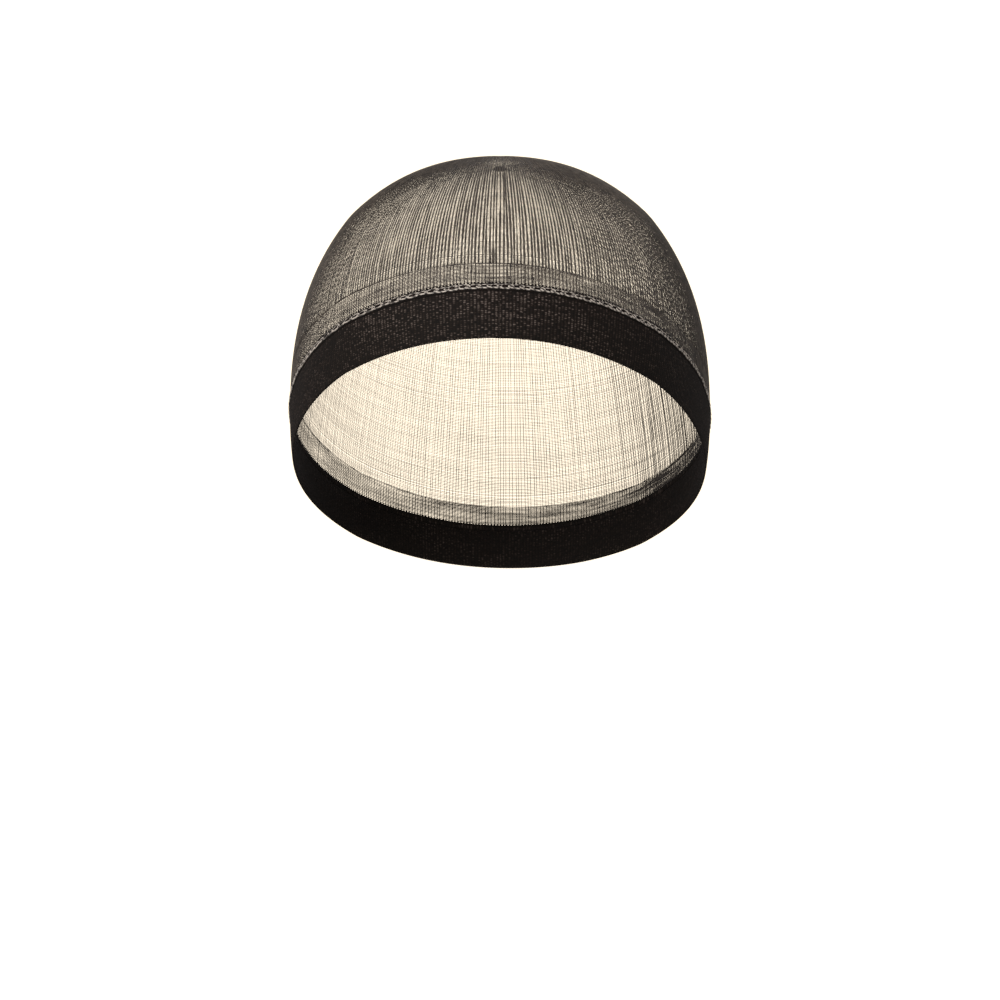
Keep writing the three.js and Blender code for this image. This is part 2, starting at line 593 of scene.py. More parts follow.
@dataclass(frozen=True)
class YarnFinish:
    """What every yarn here shares: a dull synthetic thread, with a sheen where it is seen edge on."""

    name: str = "synthetic_yarn"
    roughness: float = 0.5
    specular: float = 0.5
    ior: float = 1.53
    sheen: float = 0.2
    sheen_tint: str = "#ffffff"
    sheen_roughness: float = 0.5
    bump: float = 0.5
    bump_mm: float = 0.05

    def shade(
        self, tree: bpy.types.NodeTree, colour: bpy.types.NodeSocket, height: bpy.types.NodeSocket
    ) -> None:
        """Adds the relief, the shader and the output to a material.

        Args:
            tree: the material's node tree.
            colour: the base colour.
            height: height of the relief, from 0 to 1.
        """
        add = partial(add_node, tree)
        relief = add(
            "ShaderNodeBump",
            {"Strength": self.bump, "Distance": self.bump_mm * MM},
            {"Height": height},
        )
        shader = add(
            "ShaderNodeBsdfPrincipled",
            {
                "Roughness": self.roughness,
                "Sheen Weight": self.sheen,
                "Sheen Tint": linear(self.sheen_tint),
                "Sheen Roughness": self.sheen_roughness,
                "Specular IOR Level": self.specular,
                "IOR": self.ior,
            },
            {"Base Color": colour, "Normal": relief.outputs["Normal"]},
        )
        add("ShaderNodeOutputMaterial", links={"Surface": shader.outputs["BSDF"]})


@dataclass(frozen=True)
class NylonYarn(YarnFinish):
    """Fine textured nylon yarn, dyed black.

    To the eye it is a dull brown-black thread, with a faint grey sheen where it is seen edge on. The
    depth of its dye changes over patch_mm, about two stitches.
    """

    name: str = "textured_nylon_yarn"
    dark: str = "#2c2621"
    light: str = "#51483f"
    roughness: float = 0.55
    specular: float = 0.35
    sheen_tint: str = "#a39a98"
    sheen_roughness: float = 0.4
    bump: float = 0.3
    patch_mm: float = 2.2
    dye_range: tuple[float, float] = (0.35, 0.65)

    def material(self) -> bpy.types.Material:
        """Yarn whose depth of dye changes softly over a few millimetres.

        Returns:
            The material.
        """
        material, tree = new_material(self.name)
        add = partial(add_node, tree)
        place = add("ShaderNodeTexCoord")
        dye = add(
            "ShaderNodeTexNoise",
            {"Scale": 1.0 / (self.patch_mm * MM), "Detail": 3.0, "Roughness": 0.6},
            {"Vector": place.outputs["Object"]},
        )
        colour = add(
            "ShaderNodeValToRGB",
            links={"Fac": dye.outputs["Fac"]},
            stops=list(zip(self.dye_range, (self.dark, self.light))),
        )
        self.shade(tree, colour.outputs["Color"], dye.outputs["Fac"])
        return material


@dataclass(frozen=True)
class SeamThread(YarnFinish):
    """Two-ply texturised polyamide sewing thread, washed-out black.

    To the eye it is a grey-brown thread with a soft shine on each ply. The light band on each ply is
    that shine, a painted highlight, and the dark band is the thread's own colour. The plies of a real
    thread come round every 0.6 mm or so. They are drawn twist_mm apart, coarser than real, so that they
    show.
    """

    name: str = "polyamide_linking_thread"
    dark: str = "#3d352f"
    # Colour of the painted highlight on each ply; dark is the thread's own colour.
    light: str = "#bcb0a4"
    roughness: float = 0.4
    bump_mm: float = 0.06
    twist_mm: float = 0.9
    ply_and_shine_range: tuple[float, float] = (0.1, 0.75)

    def material(self) -> bpy.types.Material:
        """Slanted plies as light and dark bands along the thread, the light ones a painted highlight.

        Returns:
            The material.
        """
        material, tree = new_material(self.name)
        add = partial(add_node, tree)
        place = add("ShaderNodeTexCoord")
        ply = add(
            "ShaderNodeTexWave",
            {
                "Scale": 1.0 / (self.twist_mm * MM) / WAVE_REPEATS,
                "Distortion": 3.0,
                "Detail": 2.0,
                "Detail Scale": 2.0,
            },
            {"Vector": place.outputs["Object"]},
            bands_direction="DIAGONAL",
        )
        colour = add(
            "ShaderNodeValToRGB",
            links={"Fac": ply.outputs["Fac"]},
            stops=list(zip(self.ply_and_shine_range, (self.dark, self.light))),
        )
        self.shade(tree, colour.outputs["Color"], ply.outputs["Fac"])
        return material


@dataclass(frozen=True)
class WeltKnit(YarnFinish):
    """Doubled welt, knitted of black nylon over bare elastane.

    To the eye it is near black and ribbed, with small lit stitches. The light dash on each stitch is a
    painted highlight, strongest across the front middle as a painted sheen. The mesh's attribute named
    knit holds the wale number, the course number and how strong that painted sheen is there, so each
    stitch is a cell. The cells are 1.2 mm wide, as the crown's stitches are, and 0.66 mm high. Patches
    are measured in cells, and the light dash on a stitch is drawn wider than a real yarn, so that it
    shows.
    """

    name: str = "doubled_elastane_welt"
    ground: str = "#0c0704"
    thread: str = "#1c130d"
    # Colour of the painted highlight at the top of each stitch's light dash.
    stitch: str = "#5b504a"
    roughness: float = 0.8
    specular: float = 0.15
    ior: float = 1.5
    sheen: float = 0.08
    sheen_tint: str = "#8d8086"
    sheen_roughness: float = 0.35
    bump: float = 0.6
    bump_mm: float = 0.12
    # Least strength of the painted sheen, where the knit attribute's third number is 0.
    least_sheen: float = 0.38
    ramp: tuple[float, float, float] = (0.0, 0.12, 0.5)
    ruffle_scale: float = 0.9
    ruffle_reach: tuple[float, float, float] = (0.6, 1.0, 0.0)
    dash_power: float = 1.5
    chance_power: float = 1.2
    patch_scale: float = 0.05
    patch_range: tuple[float, float] = (0.35, 0.65)
    patch_least: float = 0.45

    def material(self) -> bpy.types.Material:
        """Ground colour between stitches, and a light dash of its own strength on each: a painted highlight.

        Returns:
            The material.
        """
        material, tree = new_material(self.name)
        add = partial(add_node, tree)
        knit = add("ShaderNodeAttribute", attribute_name="knit", attribute_type="GEOMETRY")
        stitch = self.stitch_place(tree, knit)
        inside = add("ShaderNodeVectorMath", links={0: stitch.outputs["Vector"]}, operation="FRACTION")
        dash = self.dash(tree, inside)
        strength = self.highlight_strength(tree, knit, stitch)
        lit = add(
            "ShaderNodeMath",
            links={0: dash.outputs[0], 1: strength.outputs[0]},
            operation="MULTIPLY",
        )
        colour = add(
            "ShaderNodeValToRGB",
            links={"Fac": lit.outputs[0]},
            stops=list(zip(self.ramp, (self.ground, self.thread, self.stitch))),
        )
        self.shade(tree, colour.outputs["Color"], dash.outputs[0])
        return material

    def stitch_place(self, tree: bpy.types.NodeTree, knit: bpy.types.Node) -> bpy.types.Node:
        """Place in the knit, in stitches, pushed about by a soft noise so that the rows aren't ruled.

        Args:
            tree: the material's node tree.
            knit: the node that reads the knit attribute.

        Returns:
            The node that gives the place.
        """
        add = partial(add_node, tree)
        ruffle = add(
            "ShaderNodeTexNoise",
            {"Scale": self.ruffle_scale, "Detail": 1.0},
            {"Vector": knit.outputs["Vector"]},
        )
        shift = add(
            "ShaderNodeVectorMath",
            {1: (0.5, 0.5, 0.5)},
            {0: ruffle.outputs["Color"]},
            operation="SUBTRACT",
        )
        slack = add(
            "ShaderNodeVectorMath",
            {1: self.ruffle_reach},
            {0: shift.outputs["Vector"]},
            operation="MULTIPLY",
        )
        return add("ShaderNodeVectorMath", links={0: knit.outputs["Vector"], 1: slack.outputs["Vector"]})

    def dash(self, tree: bpy.types.NodeTree, inside: bpy.types.Node) -> bpy.types.Node:
        """Painted highlight in the middle of a stitch: a sine across it times a sine up it, to a power.

        Args:
            tree: the material's node tree.
            inside: the node that gives the place inside the stitch, from 0 to 1 each way.

        Returns:
            The node that gives the dash.
        """
        add = partial(add_node, tree)
        parts = add("ShaderNodeSeparateXYZ", links={"Vector": inside.outputs["Vector"]})
        humps = []
        for axis in ("X", "Y"):
            swing = add("ShaderNodeMath", {1: math.pi}, {0: parts.outputs[axis]}, operation="MULTIPLY")
            humps.append(add("ShaderNodeMath", links={0: swing.outputs[0]}, operation="SINE"))
        hump = add(
            "ShaderNodeMath",
            links={0: humps[0].outputs[0], 1: humps[1].outputs[0]},
            operation="MULTIPLY",
        )
        return add("ShaderNodeMath", {1: self.dash_power}, {0: hump.outputs[0]}, operation="POWER")

    def highlight_strength(
        self, tree: bpy.types.NodeTree, knit: bpy.types.Node, stitch: bpy.types.Node
    ) -> bpy.types.Node:
        """Each stitch's highlight strength: a chance of its own, times soft patches, times the painted
        sheen.

        Args:
            tree: the material's node tree.
            knit: the node that reads the knit attribute.
            stitch: the node that gives the place in stitches.

        Returns:
            The node that gives the strength.
        """
        add = partial(add_node, tree)
        cell = add("ShaderNodeVectorMath", links={0: stitch.outputs["Vector"]}, operation="FLOOR")
        chance = add(
            "ShaderNodeTexWhiteNoise", links={"Vector": cell.outputs["Vector"]}, noise_dimensions="3D"
        )
        uneven = add(
            "ShaderNodeMath",
            {1: self.chance_power},
            {0: chance.outputs["Value"]},
            operation="POWER",
        )
        patch = add(
            "ShaderNodeTexNoise",
            {"Scale": self.patch_scale, "Detail": 3.0, "Roughness": 0.6},
            {"Vector": knit.outputs["Vector"]},
        )
        low, high = self.patch_range
        clear = add(
            "ShaderNodeMapRange",
            {"From Min": low, "From Max": high, "To Min": self.patch_least, "To Max": 1.0},
            {"Value": patch.outputs["Fac"]},
        )
        # The knit attribute's third number is the painted sheen, strongest across the front middle.
        state = add("ShaderNodeSeparateXYZ", links={"Vector": knit.outputs["Vector"]})
        painted_sheen = add(
            "ShaderNodeMapRange", {"To Min": self.least_sheen, "To Max": 1.0}, {"Value": state.outputs["Z"]}
        )
        sheen_share = add(
            "ShaderNodeMath",
            links={0: painted_sheen.outputs["Result"], 1: clear.outputs["Result"]},
            operation="MULTIPLY",
        )
        return add(
            "ShaderNodeMath",
            links={0: uneven.outputs[0], 1: sheen_share.outputs[0]},
            operation="MULTIPLY",
        )


# ---------------------------------------------------------------- cloth pieces


def strands(
    paths: np.ndarray, normals: np.ndarray, width: np.ndarray, height: np.ndarray, closed: bool
) -> Surface:
    """Three-sided tubes of a full width and height.

    A triangle in a circle of radius r is r times the root of 3 wide, and 1.5 r high.

    Args:
        paths: points, one row of them for each strand.
        normals: unit vectors that the height lies along.
        width: width at each point.
        height: height at each point.
        closed: True if each path is a loop.

    Returns:
        The strands.
    """
    return tubes(paths, normals, width / math.sqrt(3.0), height / 1.5, 3, closed)


def finished(
    surface: Surface, name: str, dress: bpy.types.Material, node: Node
) -> bpy.types.Object:
    """Makes a piece that stands for a CAD node and rides on the one body.

    Args:
        surface: the piece's shape.
        name: the piece's name.
        dress: its material.
        node: the CAD node that it stands for.

    Returns:
        The piece.
    """
    piece = surface.to_object(name)
    piece.data.materials.append(dress)
    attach(piece, "root")
    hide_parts(node.value)
    return piece


@dataclass
class SheerKnit:
    """Open plain knit between two edges: a strand for each wale, and a thread round for each course.

    Wales are even at the forehead. At the sides and the nape each keeps a little to one side of its
    place, because the pull is less even there. Strands are drawn several times as wide as a real cap's
    yarn, so that they show.
    """

    cloth_map: ClothMap
    rng: np.random.Generator
    lift: float = 0.75
    thickness: float = 0.12
    flatness: float = 0.55
    # Share of the space between wales that a strand covers, and what is added on +X and on -X.
    # More cover on +X is painted shade on that side, and less on -X is painted light.
    wale_cover_front: float = 0.56
    wale_cover_back: float = 0.15
    wale_cover_pole: float = 0.74
    painted_shade_cover_right: float = 0.28
    painted_light_cover_left: float = -0.05
    side_start: float = 0.3
    side_rise: float = 0.6
    # Spacing of the wales at which they begin to close up, and at which they are closed.
    loose_pitch: float = 1.15
    tight_pitch: float = 0.15
    late_closing: float = 5.0
    crowded_pitch: float = 0.05
    crowded_rise: float = 0.35
    crowded_cover: float = 0.5
    sunken: float = 0.5
    raised: float = 0.6
    widest: float = 0.75
    # How far the wales wander, in wales, and how unevenly they swell.
    stray: float = 0.35
    nape_stray: float = 0.5
    nape_cosine: float = -0.5
    wander: float = 0.09
    wander_blur: tuple[float, float] = (0.6, 4.0)
    unevenness: float = 0.16
    swell_blur: tuple[float, float] = (0.3, 0.6)
    swell_limits: tuple[float, float] = (0.5, 1.6)
    course_width: float = 0.19
    painted_shade_course_right: float = 0.06
    course_steps: int = 60
    course_sink: float = 0.4
    course_unevenness: float = 0.14
    course_blur: tuple[float, float] = (0.3, 0.7)
    course_limits: tuple[float, float] = (0.3, 2.2)
    thinnest: float = 0.03

    def towards_front(self, azimuth: np.ndarray) -> np.ndarray:
        """1 at the forehead and 0 at the nape, level at both and smooth between."""
        return smooth_step(0.5 + 0.5 * np.cos(azimuth))

    def towards_right(self, azimuth: np.ndarray) -> np.ndarray:
        """1 on +X, and 0 from a little to +X of the middle over to -X, smooth between."""
        return smooth_step((np.sin(azimuth) - self.side_start) / self.side_rise)

    def cover(self, azimuth: np.ndarray, pitch: np.ndarray, numbers: np.ndarray) -> np.ndarray:
        """Share of the space between wales that their strands cover.

        It falls from the forehead to the nape, where the cloth is stretched more. It is more on +X, as
        painted shade on that side, and a little less on -X, as painted light.
        Towards the pole it nears the cover that closed cloth has, early at the forehead and late at the
        nape, and is less again right beside the gather. There every other strand sinks behind its
        neighbours and so gets narrower.

        Args:
            azimuth: azimuth of each point of each strand.
            pitch: spacing of the wales there.
            numbers: number of each wale.

        Returns:
            Shares from 0 to about 1.
        """
        front = self.towards_front(azimuth)
        cover = self.wale_cover_back + (self.wale_cover_front - self.wale_cover_back) * front
        # More cover on +X is painted shade, and less on -X is painted light.
        cover = cover + self.painted_shade_cover_right * self.towards_right(azimuth)
        cover = cover + self.painted_light_cover_left * self.towards_right(-azimuth)
        gathered = np.clip((self.loose_pitch - pitch) / (self.loose_pitch - self.tight_pitch), 0.0, 1.0)
        apart = smooth_step((pitch - self.crowded_pitch) / self.crowded_rise)
        closed = self.wale_cover_pole * (self.crowded_cover + (1.0 - self.crowded_cover) * front * apart)
        cover = cover + (closed - cover) * gathered ** (1.0 + self.late_closing * (1.0 - front))
        sides = np.where(numbers % 2 == 0, self.raised, -1.0)
        return cover * (1.0 + self.sunken * sides * gathered * front)

    def wales(self, low: np.ndarray, high: np.ndarray, steps: int) -> Surface:
        """Strands that run up the cloth, and wander and swell a little at random.

        The spacing of the wales at a point is twice the distance from it, square to its strand, to the
        place half a wale on.

        Args:
            low: where each wale starts, as a distance up from the rim.
            high: where each wale ends.
            steps: points along each strand.

        Returns:
            Three-sided tubes.
        """
        count = self.cloth_map.wale_count
        numbers = np.arange(count)[:, None]
        shift = self.wander * smooth_noise(self.rng, (count, steps), self.wander_blur)
        even_azimuth = self.cloth_map.azimuth_of(numbers)
        strained = np.sin(even_azimuth) ** 2
        at_nape = self.nape_stray * (np.cos(even_azimuth) < self.nape_cosine)
        astray = np.random.default_rng(SEED).uniform(-self.stray, self.stray, (count, 1))
        wale = numbers + shift + astray * np.maximum(strained, at_nape)
        azimuth = self.cloth_map.azimuth_of(wale)
        share = np.linspace(0.0, 1.0, steps)[None, :]
        distance = low[:, None] * (1.0 - share) + high[:, None] * share
        paths, normals = self.cloth_map.place(azimuth, distance, self.lift)
        beside, _ = self.cloth_map.place(self.cloth_map.azimuth_of(wale + 0.5), distance, self.lift)
        along = unit(np.gradient(paths, axis=1))
        pitch = 2.0 * np.linalg.norm(np.cross(beside - paths, along), axis=-1)
        swell = 1.0 + self.unevenness * smooth_noise(self.rng, (count, steps), self.swell_blur)
        width = np.minimum(self.cover(azimuth, pitch, numbers) * pitch, self.widest)
        width = width * np.clip(swell, *self.swell_limits)
        height = np.minimum(self.thickness, width * self.flatness)
        return strands(paths, normals, width, height, closed=False)

    def courses(self, distances: np.ndarray, azimuth: np.ndarray, fade: np.ndarray | float = 1.0) -> Surface:
        """Threads round the cloth, a little inside the wales, and a little thicker on +X, as painted shade.

        Args:
            distances: distance up from the rim of each point, one row for each course.
            azimuth: azimuth of each point round a course.
            fade: share of the full width for each course.

        Returns:
            Three-sided rings.
        """
        azimuth = np.broadcast_to(azimuth, distances.shape)
        lift = self.lift - self.course_sink * self.thickness
        paths, normals = self.cloth_map.place(azimuth, distances, lift)
        swell = 1.0 + self.course_unevenness * smooth_noise(self.rng, distances.shape, self.course_blur)
        width = (self.course_width + self.painted_shade_course_right * self.towards_right(azimuth)) * fade
        width = np.maximum(width * np.clip(swell, *self.course_limits), self.thinnest)
        height = np.minimum(self.thickness, width * self.flatness)
        return strands(paths, normals, width, height, closed=True)


@dataclass
class Crown:
    """Sheer dome from the shadow welt up to the pole, where the wales are gathered shut.

    A course is course_pitch above the last, give or take course_jitter of that, and the courses thin out
    by course_fade towards the pole, where the cloth is stretched least round the head.
    """

    cloth_map: ClothMap
    cloth: Cloth
    yarn: NylonYarn
    wale_steps: int = 36
    wale_tuck: float = 1.5
    course_pitch: float = 0.5
    course_jitter: float = 0.08
    course_fade: float = 0.9
    area_steps: int = 60
    gather_radius: float = 2.4
    gather_lift: float = 0.75
    gather_wall: float = 0.5
    gather_hump: float = 0.5
    gather_folds: int = 26
    fold_height: float = 0.25
    steps_per_fold: int = 6
    gather_rows: int = 12
    dimple: float = 0.25
    pole_top: float = 0.8
    pole_bottom: float = 0.1

    def flat_size(self) -> tuple[float, float]:
        """Size of the cloth as it lies on the head.

        Returns:
            Girth at the bottom and mean length to the pole, in metres.
        """
        bottom = self.cloth.shadow_mean
        girth = self.cloth_map.girths(np.array([bottom]))[0]
        return float(girth) * MM, (self.cloth_map.mean_length - bottom) * MM

    def flat_area(self) -> float:
        """Area of the cloth: the mean of the girths from the bottom to the pole, times the length.

        Returns:
            The area in square metres.
        """
        length = self.cloth_map.mean_length
        girths = self.cloth_map.girths(np.linspace(self.cloth.shadow_mean, length, self.area_steps))
        return float(girths.mean()) * (length - self.cloth.shadow_mean) * MM * MM

    def build(self) -> list[bpy.types.Object]:
        """Makes the crown.

        Returns:
            The knit, and its gathered end.
        """
        dress = self.yarn.material()
        return [
            finished(self.knit(), "crown_knit", dress, Node.CROWN),
            finished(self.gather(), "crown_gather", dress, Node.CROWN),
        ]

    def knit(self) -> Surface:
        """Wales from the shadow welt up into the gather, and courses between the two.

        Returns:
            The strands.
        """
        rng = np.random.default_rng(SEED)
        knit = SheerKnit(self.cloth_map, rng)
        wale_azimuth = self.cloth_map.azimuth_of(np.arange(self.cloth_map.wale_count))
        low = self.cloth.shadow_top(wale_azimuth)
        high = self.cloth_map.lengths(wale_azimuth) - self.gather_radius + self.wale_tuck
        wales = knit.wales(low, high, self.wale_steps)
        azimuth = TURN * np.arange(knit.course_steps) / knit.course_steps
        bottom = self.cloth.shadow_top(azimuth)
        top = self.cloth_map.lengths(azimuth) - self.gather_radius
        count = int((top - bottom).mean() / self.course_pitch)
        jitter = self.course_jitter * rng.standard_normal((count, 1))
        share = (np.arange(count)[:, None] + 0.5 + jitter) / count
        fade = 1.0 - self.course_fade * share
        courses = knit.courses(bottom + (top - bottom) * share, azimuth[None, :], fade)
        return Surface.joined([wales, courses])

    def gather(self) -> Surface:
        """Small puckered disc that closes the dome.

        Its height is a low hump with a dimple in the middle, and its folds are a cosine of the azimuth
        that dies away at the edge and at the middle.

        Returns:
            The disc, closed by an inside of its own.
        """
        columns, rows = self.steps_per_fold * self.gather_folds, self.gather_rows
        azimuth = TURN * np.arange(columns)[:, None] / columns
        radius = self.gather_radius * np.arange(1, rows + 1)[None, :] / rows
        share = radius / self.gather_radius
        folds = np.cos(self.gather_folds * azimuth) * share * (1.0 - share) * 4.0
        hump = (1.0 - share**2) * (1.0 - np.exp(-((share / self.dimple) ** 2)))
        lift = self.gather_lift + self.gather_hump * hump + self.fold_height * folds
        lengths = self.cloth_map.lengths(azimuth)
        outer, _ = self.cloth_map.place(azimuth, lengths - radius, lift)
        inner, _ = self.cloth_map.place(azimuth, lengths - radius, np.maximum(lift - self.gather_wall, 0.0))
        pole = self.cloth_map.lengths(np.zeros(1))
        outer_pole, _ = self.cloth_map.place(np.zeros(1), pole, self.pole_top)
        inner_pole, _ = self.cloth_map.place(np.zeros(1), pole, self.pole_bottom)
        index = np.arange(columns * rows).reshape(columns, rows)
        size = columns * rows
        beside = np.roll(index, -1, axis=0)
        outward = ring_quads(index)
        inward = outward[:, ::-1] + size
        edge = np.stack([index[:, -1], index[:, -1] + size, beside[:, -1] + size, beside[:, -1]], axis=-1)
        fans = [
            np.stack([np.full(columns, 2 * size), index[:, 0], beside[:, 0]], axis=-1),
            np.stack([np.full(columns, 2 * size + 1), beside[:, 0] + size, index[:, 0] + size], axis=-1),
        ]
        vertices = np.concatenate([outer.reshape(-1, 3), inner.reshape(-1, 3), outer_pole, inner_pole])
        return Surface(vertices, [outward, inward, edge, *fans])


@dataclass
class ShadowWelt:
    """Strip of the same knit in heavier yarn, whose thick courses dull the light between the wales."""

    cloth_map: ClothMap
    cloth: Cloth
    yarn: NylonYarn
    wale_cover_front: float = 0.37
    wale_cover_back: float = 0.25
    wale_steps: int = 6
    wale_tuck: float = 0.8
    wale_overlap: float = 0.05
    course_pitch: float = 0.5
    course_width: float = 0.39
    # Extra course width on +X: painted shade.
    painted_shade_course_right: float = 0.02
    course_steps: int = 120
    course_tuck: float = 0.5
    edge_width: float = 0.12
    edge_pitch: float = 0.35
    edge_lift: float = 0.6
    edge_unevenness: float = 0.4
    edge_blur: tuple[float, float] = (0.1, 1.0)
    edge_limits: tuple[float, float] = (0.4, 1.6)

    def build(self) -> bpy.types.Object:
        """Makes short wale strands, close courses, and two thin courses along the top.

        Returns:
            The strip.
        """
        rng = np.random.default_rng(SEED + 1)
        knit = SheerKnit(
            self.cloth_map,
            rng,
            wale_cover_front=self.wale_cover_front,
            wale_cover_back=self.wale_cover_back,
            course_width=self.course_width,
            painted_shade_course_right=self.painted_shade_course_right,
            course_steps=self.course_steps,
        )
        wale_azimuth = self.cloth_map.azimuth_of(np.arange(self.cloth_map.wale_count))
        low = self.cloth.seam_top(wale_azimuth) - self.wale_tuck
        high = self.cloth.shadow_top(wale_azimuth) + self.wale_overlap
        wales = knit.wales(low, high, self.wale_steps)
        azimuth = TURN * np.arange(knit.course_steps) / knit.course_steps
        bottom, top = self.cloth.seam_top(azimuth) - self.course_tuck, self.cloth.shadow_top(azimuth)
        count = int((top - bottom).mean() / self.course_pitch)
        share = (np.arange(count)[:, None] + 0.5) / count
        courses = knit.courses(bottom + (top - bottom) * share, azimuth[None, :])
        dress = self.yarn.material()
        knitted = Surface.joined([wales, courses, self.edge(rng, azimuth, top)])
        return finished(knitted, "shadow_welt_knit", dress, Node.SHADOW_WELT)

    def edge(self, rng: np.random.Generator, azimuth: np.ndarray, top: np.ndarray) -> Surface:
        """Two thin dark courses along the top, of uneven width.

        Args:
            rng: source of the unevenness.
            azimuth: azimuth of each point round the head.
            top: top of the strip there.

        Returns:
            Three-sided rings.
        """
        lines = np.stack([top, top + self.edge_pitch])
        paths, normals = self.cloth_map.place(azimuth[None, :], lines, self.edge_lift)
        uneven = 1.0 + self.edge_unevenness * smooth_noise(rng, lines.shape, self.edge_blur)
        width = self.edge_width * np.clip(uneven, *self.edge_limits)
        return strands(paths, normals, width, width, closed=True)


@dataclass
class LinkingSeam:
    """Chain stitches that link the welt band to the knit above it, over the pressed raw edges."""

    cloth_map: ClothMap
    cloth: Cloth
    thread: SeamThread
    edge_knit: WeltKnit
    wales_per_stitch: int = WALES_PER_STITCH
    loop_steps: int = 28
    loop_reach: float = 1.42
    loop_half_width: float = 0.88
    loop_taper: float = 0.2
    size_spread: float = 0.12
    size_limit: float = 2.0
    lean_spread: float = 0.08
    centre: float = 1.35
    thread_radius: float = 0.21
    thread_sides: int = 6
    pulled_thin: float = 0.3
    chain_lift: float = 1.0
    chain_roll: float = 0.16
    chain_tip: float = 0.1
    edge_low: float = -0.3
    edge_high: float = 3.2
    edge_tooth: float = 0.8
    edge_lift: float = 0.45
    edge_wall: float = 0.5
    columns_per_wale: int = 4

    def build(self) -> list[bpy.types.Object]:
        """Makes the seam.

        Returns:
            The raw edges, and the chain.
        """
        node, slot = Node.LINKING_SEAM, Slot.SEAM_THREAD
        return [
            finished(self.raw_edge(), "linked_edge", self.edge_knit.material(), node),
            finished(self.chain(), "linking_chain", self.thread.material(), node),
        ]

    def chain(self) -> Surface:
        """Interlocked teardrop loops.

        Along the seam a loop is a cosine, and across it a sine that is narrow at the tail and wide at
        the head. The head lies over the tail of the next loop, so the height is a cosine too. The
        thread is pulled thin along the top and lies full along the bottom.

        Returns:
            The loops.
        """
        count = self.cloth_map.wale_count // self.wales_per_stitch
        rng = np.random.default_rng(SEED + 2)
        turn = TURN * np.arange(self.loop_steps)[None, :] / self.loop_steps
        spread = rng.standard_normal((count, 1)).clip(-self.size_limit, self.size_limit)
        sizes = 1.0 + self.size_spread * spread
        along = 0.5 * self.loop_reach * np.cos(turn) * (0.5 + 0.5 * sizes)
        taper = 1.0 - self.loop_taper + self.loop_taper * np.cos(turn)
        across = self.loop_half_width * sizes * np.sin(turn) * taper
        lean = self.lean_spread * rng.standard_normal((count, 1))
        wale = self.wales_per_stitch * (np.arange(count)[:, None] + 0.5 + along)
        azimuth = self.cloth_map.azimuth_of(wale)
        distance = self.cloth.band_top(azimuth) + self.centre + across + lean
        lift = self.chain_lift + self.chain_roll * np.cos(turn) - self.chain_tip * np.sin(turn)
        paths, normals = self.cloth_map.place(azimuth, distance, lift)
        radius = self.thread_radius * (1.0 - self.pulled_thin * np.sin(turn)) + np.zeros((count, 1))
        return tubes(paths, normals, radius, radius, self.thread_sides, closed=True)

    def raw_edge(self) -> Surface:
        """Flat strip behind the chain, whose top has a tooth for each wale, as a cosine of its number.

        Returns:
            The strip, which carries the knit attribute that its finish reads.
        """
        count = self.cloth_map.wale_count * self.columns_per_wale
        wale = np.arange(count)[:, None] / self.columns_per_wale
        azimuth = self.cloth_map.azimuth_of(wale)
        tooth = self.edge_tooth * (0.5 + 0.5 * np.cos(TURN * wale))
        base = self.cloth.band_top(azimuth)
        low, high = base + self.edge_low, base + self.edge_high - self.edge_tooth + tooth
        # Section of the strip: up the inside and down the outside, as shares of its height and wall.
        rise = np.array([[0.0, 0.5, 1.0, 1.0, 0.5, 0.0]])
        off = self.edge_lift + self.edge_wall * np.array([[0.0, 0.0, 0.3, 0.7, 1.0, 1.0]])
        points, _ = self.cloth_map.place(azimuth, low + (high - low) * rise, off)
        surface = swept_loop(points)
        knit = np.stack(np.broadcast_arrays(wale, rise, 0.0), axis=-1)
        surface.attributes["knit"] = knit.reshape(-1, 3)
        return surface


